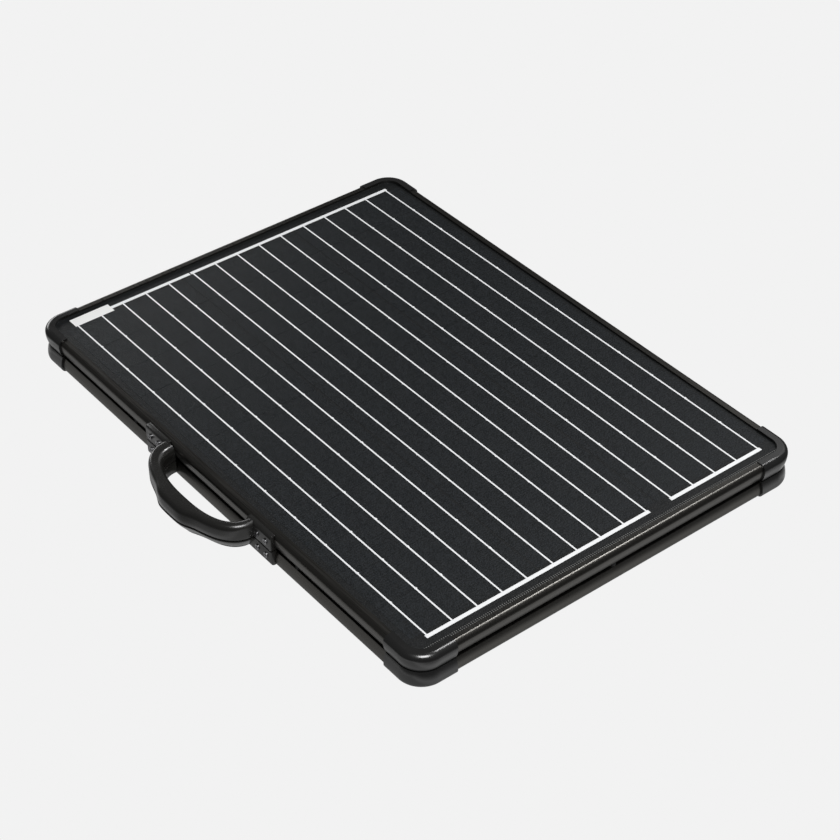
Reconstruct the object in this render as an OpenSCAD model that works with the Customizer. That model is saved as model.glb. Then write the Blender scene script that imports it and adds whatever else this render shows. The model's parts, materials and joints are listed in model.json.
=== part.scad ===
// Folding solar panel, closed: two framed panels hinged along one long edge,
// a two-part carrying handle on the other long edge, a folding leg in each panel.
// X runs along the hinge, +Y points at the hinge, +Z is up. Millimetres.

/* [Frame] */
// Length over the rails, along the hinge
panel_length = 696; // [690:1:760]
// Width over the rails, without the corner caps
panel_width = 508; // [506:1:540]
// Height of one rail
rail_height = 18; // [17:0.5:20]
// Gap between the two panels' rails
rail_gap = 4.8; // [4.6:0.1:6]
// Width of the rail's lip and rounding, seen from above
rail_face = 10; // [9:0.5:12]
// Wall of the hollow rail
rail_wall = 1.8; // [1.2:0.1:2]

/* [Corner caps] */
// How far a cap stands out past the rails
cap_proud = 2.2; // [1.5:0.1:3]
// How far a cap stands above the rails
cap_rise = 1.1; // [0.6:0.1:2]
// Gap between the two panels' caps
cap_gap = 2; // [1.5:0.1:3]
// Outer corner radius, seen from above
corner_radius = 29; // [24:1:36]
// Reach of a cap along each side, from its outer face
cap_reach = 51; // [44:1:70]

/* [Cells] */
// Length of one cell across its string
cell_span = 156.75; // [150:0.25:157]
// Length of one cell along its string
cell_step_size = 52.25; // [50:0.25:52.5]
// Cells in one string
cell_count = 12; // [6:1:12]
// Ribbon width
ribbon_width = 1.8; // [1:0.1:2.5]
// Bus ribbon width
bus_width = 4.6; // [3:0.1:6]

/* [Handle] */
// Half width of the finger gap
grip_inner_half = 68.5; // [60:0.5:70]
// Depth of the finger gap
grip_inner_deep = 31.4; // [28:0.1:36]
// Half width over the grip
grip_outer_half = 84.4; // [82:0.2:90]
// Depth over the grip, without its middle bulge
grip_outer_deep = 45.3; // [44:0.1:52]
// Height of the bulge in the middle of the grip
grip_bulge = 6.8; // [0:0.1:8]
// Outer end of the flange
flange_end = 116; // [112:1:130]

/* [Stand leg] */
// Leg length from its bolt to its tip
leg_length = 350; // [250:5:420]
// Depth of the flat bar
leg_depth = 11; // [9:0.5:11]

/* [Hidden] */
$fn = 48;

black = [0.13, 0.13, 0.13];
plastic = [0.07, 0.07, 0.075];
steel = [0.7, 0.7, 0.72];
silver = [0.8, 0.81, 0.83];
rubber = [0.05, 0.05, 0.05];

eps = 0.1;
mid_z = cap_gap / 2 + rail_height + cap_rise + (rail_gap - cap_gap) / 2;
rail_z = mid_z + rail_gap / 2;
cap_z = mid_z + cap_gap / 2;
top_z = rail_z + rail_height;
cap_height = top_z + cap_rise - cap_z;
cap_face = rail_face + cap_proud;
half_x = panel_length / 2;
half_y = panel_width / 2;
in_x = half_x - rail_face;
in_y = half_y - rail_face;
arc_x = half_x + cap_proud - corner_radius;
arc_y = half_y + cap_proud - corner_radius;
arc_in = corner_radius - cap_face;
lip_corner_r = 8;
arm_x = half_x + cap_proud - cap_reach;
arm_y = half_y + cap_proud - cap_reach;

// D-shaped outer side: flat top, rounding, then a long curve in to the parting face
rail_flat = rail_face - 4.6;
rail_drop = 6;
rail_side_r = 28;
cap_flat = cap_face - 5.8;
cap_drop = 7;
cap_side_r = 33;

// groove and laminate
sheet_z = top_z - 2.2;
sheet_thick = 0.6;
board_thick = 2.8;
board_z = sheet_z - sheet_thick - board_thick;
groove_deep = 6.2;
groove_top = sheet_z + 0.05;
tuck = 5;
cell_thick = 0.1;
string_gap = 2.47;
cell_gap = 0.62;
line_step = cell_span / 5;
string_step = cell_span + string_gap;
cell_step = cell_step_size + cell_gap;
grid_y = 1.9;
grid_x = -0.95;
bus_x = 322.75;
bus_shift = -0.5;
bus_space = 1.5;

// hinge
axis_y = half_y + cap_proud + 0.8;
knuckle_r = 3.3;
pin_r = 1.5;
leaf_thick = rail_gap / 2 - 0.3;
leaf_width = 60;
knuckles = 5;
knuckle_gap = 0.4;
hinge_x = 200;
leaf_y = in_y + 0.4;
leaf_screw_y = in_y + 4;
leaf_screw_x = 20;

// handle
handle_gap = 1.6;
handle_z = mid_z + handle_gap / 2;
grip_top = top_z - 1.3;
grip_round = 3.6;
grip_bevel = 11;
grip_tall = 16;
grip_x = 2;
grip_gap_x = 4;
bulge_half = 29;
grip_root = half_y + 0.6;
flange_start = grip_inner_half - grip_gap_x - 0.5;
flange_front = half_y + 4;
flange_top = top_z - 0.9;
screw_xs = [92, 107];
screw_z = rail_z + 6.6;
screw_r = 1.6;
head_r = 3.2;

// junction box
box_x = 120;
box_y = 65;
box_mid_y = 160;
box_deep = 10;
lid_thick = 2;

// leg
leg_x = 288;
leg_z = rail_z + 5.7;
leg_y = -in_y + 2.4;
leg_thick = 4;
leg_bolt_r = 3;
leg_bolt_in = 6.2;
leg_bolt_out = 12;
leg_nut_r = 3.8;
leg_nut_in = 4.9;
leg_fit = 0.05;

reach_y = grip_outer_deep + grip_bulge;
shift_y = (reach_y + grip_root - axis_y - knuckle_r) / 2;

// ---- placing ----
module centred() translate([0, shift_y, 0]) children();
module turned() translate([0, shift_y, 2 * mid_z]) mirror([0, 0, 1]) children();
module both_sides() {
  children();
  mirror([1, 0, 0]) children();
}

// ---- frame ----
module d_shape(w, h, flat, drop, side_r) {
  top_r = (pow(w - flat, 2) + pow(drop, 2)) / (2 * (w - flat));
  intersection() {
    square([w, h - drop]);
    translate([w - side_r, h - drop]) circle(side_r, $fn = 96);
  }
  intersection() {
    translate([0, h - drop]) square([w, drop]);
    union() {
      translate([w - top_r, h - drop]) circle(top_r, $fn = 96);
      square([flat, h]);
    }
  }
}

module rail_outline(grow = 0) translate([0, -grow])
  d_shape(rail_face + grow, rail_height + 2 * grow, rail_flat, rail_drop + grow, rail_side_r + grow);

module groove() translate([-1, board_z - rail_z])
  square([groove_deep + 1, groove_top - board_z]);

module rail_hollow(shrink = 0) intersection() {
  translate([rail_wall + shrink, rail_wall + shrink])
    square([rail_face, board_z - rail_z - 2 * rail_wall - 2 * shrink]);
  translate([rail_face - rail_side_r, rail_height - rail_drop])
    circle(rail_side_r - rail_wall - shrink, $fn = 96);
}

module rail_section() difference() {
  rail_outline();
  groove();
  rail_hollow();
}

module along_x(len) rotate([90, 0, 90]) linear_extrude(len) children();

module long_rail() translate([-arc_x, in_y, rail_z]) along_x(2 * arc_x) rail_section();

module short_rail() rotate([0, 0, -90])
  translate([-arc_y, in_x, rail_z]) along_x(2 * arc_y) rail_section();

module hinge_rail() difference() {
  long_rail();
  leaf_holes(screw_r + 0.05, 4);
}

module handle_rail() mirror([0, 1, 0]) difference() {
  long_rail();
  both_sides() for (x = screw_xs) translate([x, half_y + 1, screw_z])
    rotate([90, 0, 0]) cylinder(r = screw_r + 0.05, h = 4);
  translate([leg_x, in_y - 1, leg_z]) rotate([-90, 0, 0]) cylinder(r = leg_bolt_r + 0.05, h = 4);
}

// ---- corner cap ----
module cap_outline() d_shape(cap_face, cap_height, cap_flat, cap_drop, cap_side_r);

module cap_sleeve() difference() {
  cap_outline();
  translate([0, rail_z - cap_z]) rail_outline(eps);
  translate([-1, rail_z - cap_z - eps]) square([2, rail_height + 2 * eps]);
}

module cap_corner() difference() {
  cap_outline();
  translate([0, rail_z - cap_z]) groove();
}

module cap() {
  translate([arc_x, arc_y, cap_z]) rotate_extrude(angle = 90, $fn = 96)
    translate([arc_in, 0]) cap_corner();
  corner_fill();
  translate([arm_x, in_y, cap_z]) along_x(arc_x - arm_x) cap_sleeve();
  translate([in_x, arc_y, cap_z]) rotate([90, 0, 0]) linear_extrude(arc_y - arm_y) cap_sleeve();
  translate([arm_x, in_y, rail_z]) along_x(arc_x - arm_x) rail_hollow(0.15);
  translate([in_x, arc_y, rail_z]) rotate([90, 0, 0])
    linear_extrude(arc_y - arm_y) rail_hollow(0.15);
}

// the lip fills the inner corner to a tighter radius
module corner_fill() {
  open = arc_in - lip_corner_r;
  translate([arc_x, arc_y, groove_top]) linear_extrude(top_z + cap_rise - groove_top)
    difference() {
      square(arc_in);
      square([arc_in, open]);
      square([open, arc_in]);
      translate([open, open]) circle(lip_corner_r);
    }
}

module cap_front_left() mirror([1, 0, 0]) mirror([0, 1, 0]) cap();
module cap_front_right() mirror([0, 1, 0]) cap();
module cap_back_left() mirror([1, 0, 0]) cap();

// ---- laminate ----
module slab(z, thick) {
  r = arc_in + tuck;
  translate([-arc_x, -arc_y - r, z]) cube([2 * arc_x, 2 * (arc_y + r), thick]);
  translate([-arc_x - r, -arc_y, z]) cube([2 * (arc_x + r), 2 * arc_y, thick]);
  both_sides() for (s = [-1, 1]) translate([arc_x, s * arc_y, z]) cylinder(r = r, h = thick, $fn = 96);
}

module cells() for (s = [-1, 0, 1], i = [0 : cell_count - 1])
  translate([
    grid_x + (i - (cell_count - 1) / 2) * cell_step - cell_step_size / 2,
    grid_y + s * string_step - cell_span / 2,
    sheet_z
  ]) cube([cell_step_size, cell_span, cell_thick]);

function line_y(s, k) = grid_y + s * string_step + (k - 2) * line_step;

module ribbons() for (s = [-1, 0, 1], k = [0 : 4])
  translate([bus_shift - bus_x, line_y(s, k) - ribbon_width / 2, sheet_z + cell_thick])
    cube([2 * bus_x, ribbon_width, cell_thick]);

module bus(x, y0, y1) translate([x - bus_width / 2, y0 - bus_width / 2, sheet_z])
  cube([bus_width, y1 - y0 + bus_width, cell_thick]);

module bus_ribbons() {
  bus(bus_shift - bus_x, line_y(-1, 0), line_y(0, 0) - bus_width - bus_space);
  bus(bus_shift - bus_x, line_y(0, 0), line_y(1, 4));
  bus(bus_shift + bus_x, line_y(-1, 0), line_y(0, 4));
  bus(bus_shift + bus_x, line_y(1, 0), line_y(1, 4));
}

module label() translate([-331, -223, sheet_z + 2 * cell_thick]) cube([15, 51, cell_thick]);

// ---- handle ----
// each contour is a squared-off ellipse; the outer one has a soft bulge in the middle
grip_steps = 32;
function bent(v) = pow(abs(v), 0.8);
function side(t) = cos(t) < 0 ? -1 : 1;
function bulge(x) = grip_bulge / (1 + pow(x / bulge_half, 6));
function grip_out(t, s) =
  let (x = (grip_outer_half - s) * side(t) * bent(cos(t)))
  [x + grip_x, -grip_root - (grip_outer_deep - s) * bent(sin(t)) - bulge(x) * bent(sin(t))];
function grip_in(t, s) = [
  (grip_inner_half + s) * side(t) * bent(cos(t)) + grip_gap_x,
  -grip_root - (grip_inner_deep + s) * bent(sin(t))
];

module grip_plan(out, inn) polygon(concat(
  [for (i = [0 : grip_steps]) grip_out(180 * i / grip_steps, out)],
  [for (i = [grip_steps : -1 : 0]) grip_in(180 * i / grip_steps, inn)]
));

// a half is a nest of ever taller, ever slimmer layers
module grip_layer(tall, out, inn) translate([0, 0, handle_z]) linear_extrude(tall)
  grip_plan(out, inn);

// upper half: upright walls, rounded top edges
module upper_grip() {
  wall = grip_top - grip_round - handle_z;
  for (a = [0 : 18 : 72]) {
    inset = grip_round * (1 - cos(a));
    grip_layer(wall + grip_round * sin(a), inset, inset);
  }
}

// lower half: its outer wall slants in under the grip
module lower_grip() {
  grip_layer(grip_tall * 0.35, grip_bevel * 0.15, 0);
  grip_layer(grip_tall * 0.7, grip_bevel * 0.45, 0.4);
  grip_layer(grip_tall, grip_bevel * 0.75, 2);
}

module flange_profile() difference() {
  union() {
    translate([half_y - 2.5, handle_z - rail_z]) square([6.5, flange_top - handle_z - 4]);
    translate([half_y - 2.5, flange_top - rail_z - 4.1]) square([2.5, 4.1]);
    translate([flange_front - 4, flange_top - rail_z - 4]) circle(4);
  }
  translate([in_y, 0]) rail_outline(eps);
}

module flange() difference() {
  mirror([0, 1, 0]) translate([flange_start, 0, rail_z])
    along_x(flange_end - flange_start) flange_profile();
  for (x = screw_xs) translate([x, 1 - half_y, screw_z])
    rotate([90, 0, 0]) cylinder(r = screw_r + 0.05, h = 8);
}

module upper_handle() {
  upper_grip();
  both_sides() flange();
}

module lower_handle() {
  lower_grip();
  both_sides() flange();
}

module cross_head(r, h) difference() {
  cylinder(r = r, h = h);
  translate([-r * 0.6, -r * 0.12, h * 0.5]) cube([r * 1.2, r * 0.24, h]);
  translate([-r * 0.12, -r * 0.6, h * 0.5]) cube([r * 0.24, r * 1.2, h]);
}

module handle_screws() both_sides() for (x = screw_xs)
  translate([x, -flange_front, screw_z]) rotate([90, 0, 0]) {
    cross_head(head_r, 1.4);
    translate([0, 0, -8.5]) cylinder(r = screw_r, h = 8.6);
  }

// ---- hinge ----
module leaf_holes(r, h) both_sides() for (s = [-1, 1])
  translate([hinge_x + s * leaf_screw_x, leaf_screw_y, rail_z - 1]) cylinder(r = r, h = h);

module knuckle(i, grow = 0) {
  step = (leaf_width + knuckle_gap) / knuckles;
  translate([hinge_x - leaf_width / 2 + i * step - grow, axis_y, mid_z])
    rotate([0, 90, 0]) cylinder(r = knuckle_r + grow, h = step - knuckle_gap + 2 * grow);
}

module leaf(mine, other) difference() {
  union() {
    translate([hinge_x - leaf_width / 2, leaf_y, rail_z - leaf_thick])
      cube([leaf_width, axis_y - 1 - leaf_y, leaf_thick]);
    for (i = mine) knuckle(i);
  }
  for (i = other) knuckle(i, 0.39);
  translate([hinge_x - leaf_width, axis_y, mid_z]) rotate([0, 90, 0])
    cylinder(r = pin_r + 0.05, h = 2 * leaf_width);
  for (s = [-1, 1]) translate([hinge_x + s * leaf_screw_x, leaf_screw_y, rail_z - leaf_thick]) {
    translate([0, 0, -1]) cylinder(r = screw_r + 0.05, h = leaf_thick + 2);
    translate([0, 0, -1]) cylinder(r = head_r + 0.05, h = 2.2);
  }
}

module hinge_screws() both_sides() for (s = [-1, 1])
  translate([hinge_x + s * leaf_screw_x, leaf_screw_y, rail_z - leaf_thick + 1.2])
    mirror([0, 0, 1]) {
      cross_head(head_r, 1.1);
      translate([0, 0, -5]) cylinder(r = screw_r, h = 5.1);
    }

module hinge_pins() both_sides() translate([hinge_x - leaf_width / 2, axis_y, mid_z])
  rotate([0, 90, 0]) cylinder(r = pin_r, h = leaf_width);

module bumpers() {
  both_sides() translate([150, -in_y - 4, mid_z + 0.2])
    cylinder(r = 3.2, h = rail_gap / 2 - 0.2);
  both_sides() translate([in_x + 4, 0, mid_z + 0.2])
    cylinder(r = 3.2, h = rail_gap / 2 - 0.2);
}

// ---- junction box ----
module junction_box() difference() {
  translate([-box_x / 2, box_mid_y - box_y / 2, board_z - box_deep]) cube([box_x, box_y, box_deep]);
  translate([2 - box_x / 2, box_mid_y - box_y / 2 + 2, board_z - box_deep - 1])
    cube([box_x - 4, box_y - 4, box_deep - 1]);
  translate([-box_x / 2 - 1, box_mid_y, board_z - box_deep / 2])
    rotate([0, 90, 0]) cylinder(r = 3.05, h = 4);
}

module junction_lid() {
  translate([-box_x / 2 - 1, box_mid_y - box_y / 2 - 1, board_z - box_deep - lid_thick])
    cube([box_x + 2, box_y + 2, lid_thick]);
  translate([2.2 - box_x / 2, box_mid_y - box_y / 2 + 2.2, board_z - box_deep - 0.1])
    cube([box_x - 4.4, box_y - 4.4, 1.6]);
}

module cable_gland() translate([-box_x / 2, box_mid_y, board_z - box_deep / 2])
  rotate([0, -90, 0]) difference() {
    union() {
      translate([0, 0, -5]) cylinder(r = 3, h = 6);
      cylinder(r = 4.9, h = 5, $fn = 6);
      translate([0, 0, 4.9]) cylinder(r = 4, h = 8);
    }
    translate([0, 0, -6]) cylinder(r = 1.8, h = 22);
  }

// ---- stand leg ----
module bar_plan(grow = 0) {
  circle(leg_depth / 2 + grow);
  translate([-leg_length, 0]) circle(leg_depth / 2 + grow);
  translate([-leg_length, -leg_depth / 2 - grow]) square([leg_length, leg_depth + 2 * grow]);
}

module leg_bar() difference() {
  translate([leg_x, leg_y + leg_thick, leg_z]) rotate([90, 0, 0])
    linear_extrude(leg_thick) bar_plan();
  translate([leg_x, leg_y - 1, leg_z]) rotate([-90, 0, 0])
    cylinder(r = leg_bolt_r + leg_fit, h = leg_thick + 2);
}

module leg_foot() difference() {
  translate([leg_x - leg_length, leg_y + leg_thick + 1.5, leg_z]) rotate([90, 0, 0])
    linear_extrude(leg_thick + 3) {
      circle(leg_depth / 2 + 0.6);
      translate([0, -leg_depth / 2 - 0.6]) square([22, leg_depth + 1.2]);
    }
  translate([leg_x, leg_y + leg_thick, leg_z]) rotate([90, 0, 0])
    linear_extrude(leg_thick) bar_plan();
}

module leg_bolt() translate([leg_x, -in_y, leg_z]) rotate([-90, 0, 0]) {
  translate([0, 0, -leg_bolt_in]) cylinder(r = leg_bolt_r, h = leg_bolt_in + leg_bolt_out);
  cylinder(r = 4.6, h = 2);
  translate([0, 0, -leg_nut_in]) cylinder(r = leg_nut_r, h = 3, $fn = 6);
}

module leg_knob() translate([leg_x, leg_y + leg_thick + 0.4, leg_z]) rotate([-90, 0, 0])
  difference() {
    union() {
      cylinder(r = 5.6, h = 3);
      translate([0, 0, 2.9]) cylinder(r = 4.2, h = 5);
      translate([-7, -1.2, 2]) cube([14, 2.4, 6]);
    }
    translate([0, 0, -1]) cylinder(r = leg_bolt_r, h = 14);
  }

// ---- nodes ----
module lower_rail_hinge_side() color(black) turned() hinge_rail();
module lower_rail_handle_side() color(black) turned() handle_rail();
module lower_rail_left() color(black) turned() mirror([1, 0, 0]) short_rail();
module lower_rail_right() color(black) turned() short_rail();
module lower_cap_front_left() color(plastic) turned() cap_front_left();
module lower_cap_front_right() color(plastic) turned() cap_front_right();
module lower_cap_back_left() color(plastic) turned() cap_back_left();
module lower_cap_back_right() color(plastic) turned() cap();
module lower_backing_board() color([0.85, 0.85, 0.84]) turned() slab(board_z, board_thick);
module lower_front_sheet() color([0.1, 0.1, 0.12]) turned() slab(sheet_z - sheet_thick, sheet_thick);
module lower_cells() color([0.06, 0.07, 0.11]) turned() cells();
module lower_ribbons() color(silver) turned() ribbons();
module lower_bus_ribbons() color(silver) turned() bus_ribbons();
module lower_handle_half() color(plastic) turned() lower_handle();
module lower_handle_screws() color(steel) turned() handle_screws();
module lower_junction_box() color(plastic) turned() junction_box();
module lower_junction_lid() color(plastic) turned() junction_lid();
module lower_cable_gland() color(plastic) turned() cable_gland();
module lower_hinge_leaves() color(steel) turned() both_sides() leaf([0, 2, 4], [1, 3]);
module lower_hinge_screws() color(steel) turned() hinge_screws();
module hinge_pins_node() color(steel) centred() hinge_pins();
module lower_bumpers() color(rubber) turned() bumpers();
module lower_leg_bolt() color(steel) turned() leg_bolt();
module lower_leg_knob() color(plastic) turned() leg_knob();
module lower_leg_bar() color(black) turned() leg_bar();
module lower_leg_foot() color(rubber) turned() leg_foot();
module upper_rail_hinge_side() color(black) centred() hinge_rail();
module upper_rail_handle_side() color(black) centred() handle_rail();
module upper_rail_left() color(black) centred() mirror([1, 0, 0]) short_rail();
module upper_rail_right() color(black) centred() short_rail();
module upper_cap_front_left() color(plastic) centred() cap_front_left();
module upper_cap_front_right() color(plastic) centred() cap_front_right();
module upper_cap_back_left() color(plastic) centred() cap_back_left();
module upper_cap_back_right() color(plastic) centred() cap();
module upper_backing_board() color([0.85, 0.85, 0.84]) centred() slab(board_z, board_thick);
module upper_front_sheet() color([0.1, 0.1, 0.12]) centred() slab(sheet_z - sheet_thick, sheet_thick);
module upper_cells() color([0.06, 0.07, 0.11]) centred() cells();
module upper_ribbons() color(silver) centred() ribbons();
module upper_bus_ribbons() color(silver) centred() bus_ribbons();
module upper_label() color([0.93, 0.93, 0.92]) centred() label();
module upper_handle_half() color(plastic) centred() upper_handle();
module upper_handle_screws() color(steel) centred() handle_screws();
module upper_junction_box() color(plastic) centred() junction_box();
module upper_junction_lid() color(plastic) centred() junction_lid();
module upper_cable_gland() color(plastic) centred() cable_gland();
module upper_hinge_leaves() color(steel) centred() both_sides() leaf([1, 3], [0, 2, 4]);
module upper_hinge_screws() color(steel) centred() hinge_screws();
module upper_bumpers() color(rubber) centred() bumpers();
module upper_leg_bolt() color(steel) centred() leg_bolt();
module upper_leg_knob() color(plastic) centred() leg_knob();
module upper_leg_bar() color(black) centred() leg_bar();
module upper_leg_foot() color(rubber) centred() leg_foot();

lower_rail_hinge_side();
lower_rail_handle_side();
lower_rail_left();
lower_rail_right();
lower_cap_front_left();
lower_cap_front_right();
lower_cap_back_left();
lower_cap_back_right();
lower_backing_board();
lower_front_sheet();
lower_cells();
lower_ribbons();
lower_bus_ribbons();
lower_handle_half();
lower_handle_screws();
lower_junction_box();
lower_junction_lid();
lower_cable_gland();
lower_hinge_leaves();
lower_hinge_screws();
hinge_pins_node();  // hinge_pins
lower_bumpers();
lower_leg_bolt();
lower_leg_knob();
lower_leg_bar();
lower_leg_foot();
upper_rail_hinge_side();
upper_rail_handle_side();
upper_rail_left();
upper_rail_right();
upper_cap_front_left();
upper_cap_front_right();
upper_cap_back_left();
upper_cap_back_right();
upper_backing_board();
upper_front_sheet();
upper_cells();
upper_ribbons();
upper_bus_ribbons();
upper_label();
upper_handle_half();
upper_handle_screws();
upper_junction_box();
upper_junction_lid();
upper_cable_gland();
upper_hinge_leaves();
upper_hinge_screws();
upper_bumpers();
upper_leg_bolt();
upper_leg_knob();
upper_leg_bar();
upper_leg_foot();
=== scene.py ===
import json
import math
import random
import bpy
from mathutils import Matrix, Vector

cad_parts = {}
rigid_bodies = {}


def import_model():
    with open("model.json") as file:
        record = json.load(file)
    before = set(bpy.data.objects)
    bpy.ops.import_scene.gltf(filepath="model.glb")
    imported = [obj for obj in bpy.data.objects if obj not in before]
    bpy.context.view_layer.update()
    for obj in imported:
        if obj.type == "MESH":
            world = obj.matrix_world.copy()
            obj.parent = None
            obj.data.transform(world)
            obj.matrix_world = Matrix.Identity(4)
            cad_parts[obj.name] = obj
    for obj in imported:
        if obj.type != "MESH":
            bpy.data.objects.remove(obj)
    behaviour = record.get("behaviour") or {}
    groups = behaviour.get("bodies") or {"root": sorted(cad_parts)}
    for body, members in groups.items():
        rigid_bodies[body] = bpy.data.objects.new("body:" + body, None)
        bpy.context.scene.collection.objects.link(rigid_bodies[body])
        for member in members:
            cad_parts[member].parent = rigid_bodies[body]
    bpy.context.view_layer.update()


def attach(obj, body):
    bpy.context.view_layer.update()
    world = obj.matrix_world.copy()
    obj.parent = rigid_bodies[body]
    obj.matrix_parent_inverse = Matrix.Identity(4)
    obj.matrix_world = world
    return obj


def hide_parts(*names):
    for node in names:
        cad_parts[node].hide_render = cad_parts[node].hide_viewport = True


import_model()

MM = 0.001
SHIFT_Y = 23.2
MID_Z = 21.5
HALF_Y = 254.0
RIBBON_Z = 39.9
HANDLE_Z = MID_Z + 0.8  # where the two handle halves nearly meet

# handle outline: half width and depth of the outer and inner contour
OUTER_HALF, OUTER_DEEP = 84.4, 45.9
INNER_HALF, INNER_DEEP = 68.5, 32.0
GRIP_X = 2.0
GAP_X = 2.0  # the finger gap sits this much further along than the grip
BULGE, BULGE_HALF = 6.8, 29
GRIP_STEPS = 96
RAIL_SIDE_R = 28.1
RAIL_TURN_Z = 35.9
RAIL_TOP_R = 6.31

# cells: thirds of a 156.75 mm wafer
WAFER = 156.75
LINE = WAFER / 5
BAND = WAFER + 2.47
STEP = 52.25 + 0.62
GRID_X, GRID_Y = -0.95, 1.9
LAST_JOINT_X = 312
RNG = random.Random(7)


# ---------- materials ----------
class Mat:
    """One procedural material: a principled shader and helpers to feed it."""

    def __init__(self, name, color, rough=0.5, metal=0.0, spec=0.5, coat=0.0, coat_rough=0.1):
        self.m = bpy.data.materials.new(name)
        self.m.use_nodes = True
        self.t = self.m.node_tree
        self.b = self.t.nodes["Principled BSDF"]
        self.set("Base Color", (*color, 1))
        self.set("Roughness", rough)
        self.set("Metallic", metal)
        self.set("Specular IOR Level", spec)
        self.set("Coat Weight", coat)
        self.set("Coat Roughness", coat_rough)
        self.c = self.t.nodes.new("ShaderNodeTexCoord")

    def set(self, k, v):
        self.b.inputs[k].default_value = v

    def node(self, kind, **props):
        n = self.t.nodes.new(kind)
        for k, v in props.items():
            setattr(n, k, v)
        return n

    def link(self, a, b):
        self.t.links.new(a, b)

    def math(self, op, a, b=None, clamp=False):
        n = self.node("ShaderNodeMath", operation=op, use_clamp=clamp)
        for i, v in enumerate((a, b)):
            if v is None:
                continue
            if isinstance(v, (int, float)):
                n.inputs[i].default_value = v
            else:
                self.link(v, n.inputs[i])
        return n.outputs[0]

    def xyz(self):
        n = self.node("ShaderNodeSeparateXYZ")
        self.link(self.c.outputs["Object"], n.inputs[0])
        return n.outputs

    def mapped(self, scale):
        n = self.node("ShaderNodeMapping")
        self.link(self.c.outputs["Object"], n.inputs["Vector"])
        n.inputs["Scale"].default_value = scale
        return n.outputs[0]

    def noise(self, scale, detail=3.0, stretch=(1, 1, 1)):
        n = self.node("ShaderNodeTexNoise")
        self.link(self.mapped(stretch), n.inputs["Vector"])
        n.inputs["Scale"].default_value = scale
        n.inputs["Detail"].default_value = detail
        return n.outputs["Fac"]

    def ramp(self, fac, a, b, lo=0.3, hi=0.7):
        n = self.node("ShaderNodeMapRange")
        self.link(fac, n.inputs[0])
        n.inputs[1].default_value = lo
        n.inputs[2].default_value = hi
        n.inputs[3].default_value = a
        n.inputs[4].default_value = b
        return n.outputs[0]

    def mix(self, fac, a, b):
        n = self.node("ShaderNodeMix", data_type="RGBA")
        self.link(fac, n.inputs[0])
        n.inputs[6].default_value = (*a, 1)
        n.inputs[7].default_value = (*b, 1)
        return n.outputs[2]

    def bump(self, height, strength, distance):
        n = self.node("ShaderNodeBump")
        n.inputs["Strength"].default_value = strength
        n.inputs["Distance"].default_value = distance
        self.link(height, n.inputs["Height"])
        self.link(n.outputs[0], self.b.inputs["Normal"])


def rail_mat(name, stretch):
    q = Mat(name, (0.15, 0.142, 0.13), rough=0.30, metal=1.0, spec=0.5)
    fine = q.noise(900, 2, stretch)
    q.link(q.ramp(fine, 0.25, 0.38), q.b.inputs["Roughness"])
    wide = q.noise(14, 3)
    q.link(q.mix(wide, (0.096, 0.093, 0.087), (0.118, 0.114, 0.106)), q.b.inputs["Base Color"])
    q.bump(fine, 0.05, 0.0002)
    return q.m


def plastic_mat(name, color, rough, spec=0.5):
    q = Mat(name, color, rough=rough, spec=spec)
    grain = q.noise(1800, 2)
    q.link(q.ramp(q.noise(30, 3), rough - 0.05, rough + 0.05), q.b.inputs["Roughness"])
    q.bump(grain, 0.04, 0.0001)
    return q.m


def laminate_mat(name, dark, light, painted_glints=False):
    """Clear textured film over the cells: fine dimples and speckle, and on request two rows of painted
    glint dots along the near-short lip.
    """
    q = Mat(name, dark, rough=0.46, spec=0.34)
    x, y, z = q.xyz()
    speck = q.ramp(q.noise(620, 2, (1, 1, 0.01)), 0, 1, 0.42, 0.60)
    rib = q.ramp(q.math("SINE", q.math("MULTIPLY", x, 2 * math.pi / 0.0034)), 0, 1, -1, 1)
    both = q.math("ADD", q.math("MULTIPLY", speck, 0.75), q.math("MULTIPLY", rib, 0.25))
    tone = q.mix(both, dark, light)
    # painted highlight: two rows of bright glint dots along the near-short lip, not a colour the film
    # has
    if painted_glints:
        painted_glint_dot = q.math("GREATER_THAN", q.math("SINE", q.math("MULTIPLY", y, 2 * math.pi / 0.0026)), 0.45)
        near = q.math("LESS_THAN", q.math("ABSOLUTE", q.math("SUBTRACT", x, 0.3358)), 0.0005)
        near2 = q.math("LESS_THAN", q.math("ABSOLUTE", q.math("SUBTRACT", x, 0.3336)), 0.0004)
        rows = q.math("MULTIPLY", painted_glint_dot, q.math("ADD", near, near2, clamp=True))
        n = q.node("ShaderNodeMix", data_type="RGBA")
        q.link(rows, n.inputs[0])
        q.link(tone, n.inputs[6])
        # colour of the painted glints
        n.inputs[7].default_value = (0.20, 0.20, 0.19, 1)
        tone = n.outputs[2]
    q.link(tone, q.b.inputs["Base Color"])
    q.link(q.ramp(q.noise(160, 3), 0.42, 0.54), q.b.inputs["Roughness"])
    q.bump(speck, 0.3, 0.0003)
    return q.m


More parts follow.
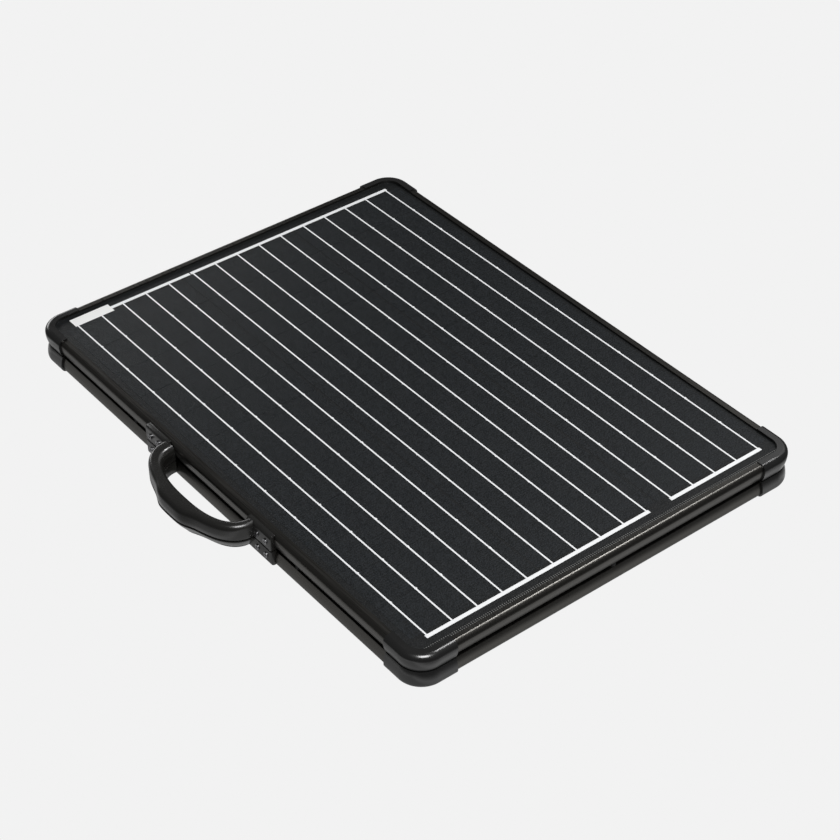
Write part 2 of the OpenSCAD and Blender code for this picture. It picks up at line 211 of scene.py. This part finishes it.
MATS = {
    "black_rail": rail_mat("black anodised rail", (0.02, 1, 1)),
    "corner_plastic": plastic_mat("corner plastic", (0.009, 0.009, 0.009), 0.22, 0.95),
    "handle_plastic": plastic_mat("handle plastic", (0.010, 0.0098, 0.009), 0.27, 0.85),
    "box_plastic": plastic_mat("box plastic", (0.02, 0.02, 0.02), 0.55),
    "black_rubber": plastic_mat("rubber", (0.015, 0.015, 0.015), 0.8, 0.3),
    "backing_board": plastic_mat("backing board", (0.75, 0.75, 0.73), 0.6),
    # the front sheet carries the painted glint dots
    "front_sheet": laminate_mat("front sheet", (0.003, 0.0037, 0.004), (0.008, 0.009, 0.010), True),
    "solar_cell": laminate_mat("solar cell", (0.0015, 0.0024, 0.0028), (0.0115, 0.0142, 0.0172)),
    "label_paper": plastic_mat("label", (0.86, 0.86, 0.85), 0.5),
}
ribbon = Mat("tinned ribbon", (0.88, 0.89, 0.90), rough=0.45, metal=0.1, spec=0.5)
ribbon.link(ribbon.ramp(ribbon.noise(300, 3), 0.36, 0.52), ribbon.b.inputs["Roughness"])
ribbon.bump(ribbon.noise(700, 2), 0.1, 0.0001)
MATS["ribbon_metal"] = ribbon.m
steel = Mat("bright screw", (0.30, 0.30, 0.31), rough=0.28, metal=1.0)
steel.bump(steel.noise(800, 2), 0.05, 0.0001)
MATS["screw_steel"] = steel.m
hinge = Mat("black hinge", (0.03, 0.03, 0.03), rough=0.4, metal=0.6)
hinge.bump(hinge.noise(900, 2), 0.05, 0.0001)
MATS["hinge_steel"] = hinge.m
leg = Mat("leg bar", (0.045, 0.043, 0.041), rough=0.38, metal=0.8)
leg.bump(leg.noise(900, 2, (0.02, 1, 1)), 0.05, 0.0002)
MATS["leg_aluminium"] = leg.m

for ob in list(bpy.data.objects):
    if ob.type != "MESH":
        continue
    for s in ob.material_slots:
        if s.material and s.material.name.split(".")[0] in MATS:
            s.material = MATS[s.material.name.split(".")[0]]


# ---------- modelling helpers ----------
def mesh_piece(name, verts, faces, slot, body, stands_for=(), smooth=True):
    m = bpy.data.meshes.new(name)
    m.from_pydata([(x * MM, (y + SHIFT_Y) * MM, z * MM) for x, y, z in verts], [], faces)
    m.update()
    if smooth:
        m.polygons.foreach_set("use_smooth", [True] * len(m.polygons))
    o = bpy.data.objects.new(name, m)
    bpy.context.scene.collection.objects.link(o)
    o.data.materials.append(MATS[slot])
    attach(o, body)
    if stands_for:
        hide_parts(*stands_for)
    return o


def sharp(o, degrees=35):
    """Keeps edges steeper than this crisp under smooth shading."""
    m = o.data
    by_edge = {}
    for p in m.polygons:
        for k in p.edge_keys:
            by_edge.setdefault(k, []).append(p.normal.copy())
    for e in m.edges:
        ns = by_edge.get(e.key, [])
        if len(ns) == 2 and ns[0].angle(ns[1], 0) > math.radians(degrees):
            e.use_edge_sharp = True


def turned(z, lower):
    return 2 * MID_Z - z if lower else z


# ---------- handle: smooth lofts of the two halves ----------
def bent(v):
    return abs(v) ** 0.8


def squared(t, half, deep, bump):
    x = half * math.copysign(bent(math.cos(t)), math.cos(t))
    y = deep * bent(math.sin(t)) + bump / (1 + (x / BULGE_HALF) ** 6) * bent(math.sin(t))
    return x, y


def grip_rows(lower):
    """Cross-section rows (outer inset, inner inset, height), outside bottom to inside bottom."""
    rows = []
    base = HANDLE_Z
    if lower:
        tall = 16.0
        rows += [(0.9, None, base), (0.25, None, base + 0.25), (0.0, None, base + 0.8)]
        for i in range(1, 9):
            u = i / 8
            rows.append((8.6 * u ** 1.15, None, base + 0.8 + (tall - 3.4) * u))
        for i in range(1, 7):
            a = math.radians(40 + i * 50 / 6)
            rows.append((8.6 + 3.0 * (math.sin(a) - math.sin(math.radians(40))) * 1.6, None,
                         base + tall - 2.6 + 2.6 * (1 - math.cos(math.radians(i * 15)))))
        rows += [(None, 3.6 * (1 - math.sin(math.radians(a))),
                  base + tall - 3.6 + 3.6 * math.cos(math.radians(a)))
                 for a in range(0, 91, 15)]
        rows += [(None, 0.0, base + 0.8), (None, 0.25, base + 0.25), (None, 0.9, base)]
    else:
        top = 40.6
        rows += [(0.9, None, base), (0.25, None, base + 0.25), (0.0, None, base + 0.8)]
        rows += [(0.0, None, base + 6)]
        rows += [(4.6 * (1 - math.cos(math.radians(a))), None,
                  top - 6.5 + 6.5 * math.sin(math.radians(a)))
                 for a in range(0, 91, 9)]
        rows += [(None, 7.5 * (1 - math.sin(math.radians(a))),
                  top - 9.5 + 9.5 * math.cos(math.radians(a)))
                 for a in range(0, 91, 9)]
        rows += [(None, 0.0, base + 6), (None, 0.0, base + 0.8),
                 (None, 0.25, base + 0.25), (None, 0.9, base)]
    return rows


def grip(lower):
    """One handle half: its cross-section carried round the outline."""
    rows = grip_rows(lower)
    steps = GRIP_STEPS
    verts, faces = [], []
    for i in range(steps + 1):
        t = math.pi * i / steps
        for out, inn, z in rows:
            if out is not None:
                x, y = squared(t, OUTER_HALF - out, OUTER_DEEP - out, BULGE)
            else:
                x, y = squared(t, INNER_HALF + inn, INNER_DEEP + inn, 0)
                x += GAP_X
            verts.append((x + GRIP_X, -HALF_Y - y, turned(z, lower)))
    n = len(rows)
    for i in range(steps):
        for j in range(n):
            a, b = i * n + j, i * n + (j + 1) % n
            c, d = b + n, a + n
            faces.append((a, b, c, d) if lower else (d, c, b, a))
    return verts, faces


def flange(sign, lower):
    """The plate that wraps the rail's rounded side, with rounded ends."""
    front = HALF_Y + 4
    back = [(HALF_Y - 2.4, 22.3)]
    for i in range(9):
        b = 22.3 + (RAIL_TURN_Z - 22.3) * i / 8
        curve = math.sqrt(RAIL_SIDE_R ** 2 - (RAIL_TURN_Z - b) ** 2)
        back.append((HALF_Y + 0.1 - RAIL_SIDE_R + curve, b))
    for i in range(1, 7):
        b = RAIL_TURN_Z + 5.1 * i / 6
        curve = math.sqrt(max(0.0, RAIL_TOP_R ** 2 - (b - RAIL_TURN_Z) ** 2))
        back.append((HALF_Y - 6.21 + curve, b))
    prof = back + [(HALF_Y, 41.0)]
    prof += [(front - 4 + 4 * math.sin(math.radians(a)), 37 + 4 * math.cos(math.radians(a)))
             for a in range(0, 91, 10)]
    prof += [(front, 36), (front, 23.2), (front - 0.25, 22.55), (front - 0.9, 22.3)]
    xs = [(74, 0.0), (115.2, 0.0), (115.76, 0.23), (116, 0.8)]
    verts, faces = [], []
    for x, s in xs:
        for d, z in prof:
            dd = d - s if d > HALF_Y + 0.5 else d
            zz = z - s if z > 38 else (z + s if z < 23.5 and d > HALF_Y else z)
            verts.append((sign * x, -dd, turned(zz, lower)))
    n = len(prof)
    flip = (sign > 0) != lower
    for i in range(len(xs) - 1):
        for j in range(n):
            f = (i * n + j, i * n + (j + 1) % n, (i + 1) * n + (j + 1) % n, (i + 1) * n + j)
            faces.append(f if flip else f[::-1])
    cap = tuple((len(xs) - 1) * n + j for j in range(n))
    faces.append(cap if flip else cap[::-1])
    return verts, faces


def joined(parts):
    """Several vertex and face lists as one."""
    verts, faces = [], []
    for v, f in parts:
        k = len(verts)
        verts += v
        faces += [tuple(i + k for i in q) for q in f]
    return verts, faces


for lower in (True, False):
    half = "lower" if lower else "upper"
    v, f = joined([grip(lower), flange(-1, lower), flange(1, lower)])
    h = mesh_piece(half + "_grip_smooth", v, f, "handle_plastic", half + "_panel",
                   (half + "_handle_half",))
    sharp(h, 40)

# ---------- solder dabs where the ribbons cross from cell to cell ----------
def dab(x, y, z, rx, ry, up, out):
    """Adds one low oval dome to the lists in out."""
    ring = 10
    k = len(out[0])
    for r, h in ((1.0, 0.0), (0.7, 0.10), (0.0, 0.16)):
        for i in range(ring if r else 1):
            a = 2 * math.pi * i / ring
            out[0].append((x + r * rx * math.cos(a), y + r * ry * math.sin(a), z + up * h))
    for i in range(ring):
        j = (i + 1) % ring
        q = [(k + i, k + j, k + ring + j, k + ring + i), (k + ring + i, k + ring + j, k + 2 * ring)]
        out[1].extend(q if up > 0 else [t[::-1] for t in q])


for lower in (True, False):
    half = "lower" if lower else "upper"
    up = -1 if lower else 1
    out = ([], [])
    for s in (-1, 0, 1):
        for k in range(5):
            y = GRID_Y + s * BAND + (k - 2) * LINE
            for i in range(13):
                x = GRID_X + (i - 6) * STEP
                if abs(x) > LAST_JOINT_X:
                    continue
                size = 1.0 if s else 0.8
                dab(x + RNG.uniform(-0.3, 0.3), y + (0.25 if s else -0.35), turned(RIBBON_Z, lower),
                    1.9 * size, 1.45 * size, up, out)
    mesh_piece(half + "_solder_dabs", out[0], out[1], "ribbon_metal", half + "_panel")


# ---------- stage ----------
def floor_mat():
    """An even pale backdrop to the camera. What it throws back at the object is painted light: a glow
    that fades with distance and is dimmed right at the object's edge as painted shade.
    """
    m = bpy.data.materials.new("floor white")
    m.use_nodes = True
    t = m.node_tree
    t.nodes.clear()
    out = t.nodes.new("ShaderNodeOutputMaterial")
    painted_glow = t.nodes.new("ShaderNodeEmission")
    near = t.nodes.new("ShaderNodeEmission")
    mix = t.nodes.new("ShaderNodeMixShader")
    path = t.nodes.new("ShaderNodeLightPath")
    geo = t.nodes.new("ShaderNodeNewGeometry")
    t.links.new(path.outputs["Is Camera Ray"], mix.inputs[0])
    near.inputs["Strength"].default_value = 0.888
    size = t.nodes.new("ShaderNodeVectorMath")
    size.operation = "ABSOLUTE"
    t.links.new(geo.outputs["Position"], size.inputs[0])
    less = t.nodes.new("ShaderNodeVectorMath")
    less.operation = "SUBTRACT"
    t.links.new(size.outputs[0], less.inputs[0])
    less.inputs[1].default_value = (0.35, 0.27, 0)
    split = t.nodes.new("ShaderNodeSeparateXYZ")
    t.links.new(less.outputs[0], split.inputs[0])
    most = t.nodes.new("ShaderNodeMath")
    most.operation = "MAXIMUM"
    t.links.new(split.outputs[0], most.inputs[0])
    t.links.new(split.outputs[1], most.inputs[1])
    # painted light: the floor's glow in reflections, a pool bright near the object, with painted
    # contact shade in the first 12 mm
    ramp = t.nodes.new("ShaderNodeValToRGB")
    ramp.color_ramp.elements[0].position = 0.0
    ramp.color_ramp.elements[0].color = (0.40, 0.40, 0.40, 1)
    ramp.color_ramp.elements[1].position = 1.0
    ramp.color_ramp.elements[1].color = (0.06, 0.06, 0.06, 1)
    for pos, v in ((0.06, 0.70), (0.14, 0.36), (0.26, 0.14), (0.45, 0.08)):
        e = ramp.color_ramp.elements.new(pos)
        e.color = (v, v, v, 1)
    scale = t.nodes.new("ShaderNodeMath")
    scale.operation = "MULTIPLY"
    t.links.new(most.outputs[0], scale.inputs[0])
    scale.inputs[1].default_value = 5.0
    t.links.new(scale.outputs[0], ramp.inputs[0])
    t.links.new(ramp.outputs[0], painted_glow.inputs["Color"])
    painted_glow.inputs["Strength"].default_value = 1.0
    t.links.new(painted_glow.outputs[0], mix.inputs[1])
    t.links.new(near.outputs[0], mix.inputs[2])
    t.links.new(mix.outputs[0], out.inputs[0])
    return m


bpy.ops.mesh.primitive_plane_add(size=60, location=(0, 0, 0))
floor = bpy.context.object
floor.name = "studio floor"
floor.data.materials.append(floor_mat())

world = bpy.data.worlds.new("studio")
bpy.context.scene.world = world
world.use_nodes = True
wt = world.node_tree
bg = wt.nodes["Background"]
bg.inputs[0].default_value = (1, 1, 1, 1)
bg.inputs[1].default_value = 0.09


def area(name, loc, aim, size, power, color=(1, 1, 1)):
    d = bpy.data.lights.new(name, "AREA")
    d.shape = "RECTANGLE"
    d.size, d.size_y = size
    d.energy = power
    d.color = color
    o = bpy.data.objects.new(name, d)
    bpy.context.scene.collection.objects.link(o)
    o.location = loc
    o.rotation_mode = "QUATERNION"
    o.rotation_quaternion = (Vector(aim) - Vector(loc)).to_track_quat("-Z", "Y")
    return o


area("top soft box", (0.25, 1.25, 2.2), (0, 0, 0), (0.5, 0.6), 24)
area("fill", (1.5, -0.7, 2.4), (0, 0, 0), (1.2, 1.2), 62)
area("left card", (-1.6, 0.15, 0.3), (-0.2, -0.1, 0.02), (1.2, 0.5), 5)
area("back card", (-0.3, 2.2, 1.5), (0.3, 0.25, 0), (1.8, 1.2), 4)

# ---------- camera ----------
cam_data = bpy.data.cameras.new("camera")
cam = bpy.data.objects.new("camera", cam_data)
bpy.context.scene.collection.objects.link(cam)
cam_data.sensor_width = 36
cam_data.lens = 90.76
cam_data.clip_start = 0.05
cam_data.clip_end = 60
fwd = Vector((-0.61495, 0.478865, -0.626517))
right = Vector((0.619035, 0.785329, -0.007356))
up = right.cross(fwd).normalized()
rot = Matrix((right, up, -fwd)).transposed()
cam.rotation_mode = "QUATERNION"
cam.rotation_quaternion = rot.to_quaternion()
cam.location = (1.45432, -1.08524, 1.45968)
bpy.context.scene.camera = cam
bpy.context.scene.view_settings.view_transform = "Standard"
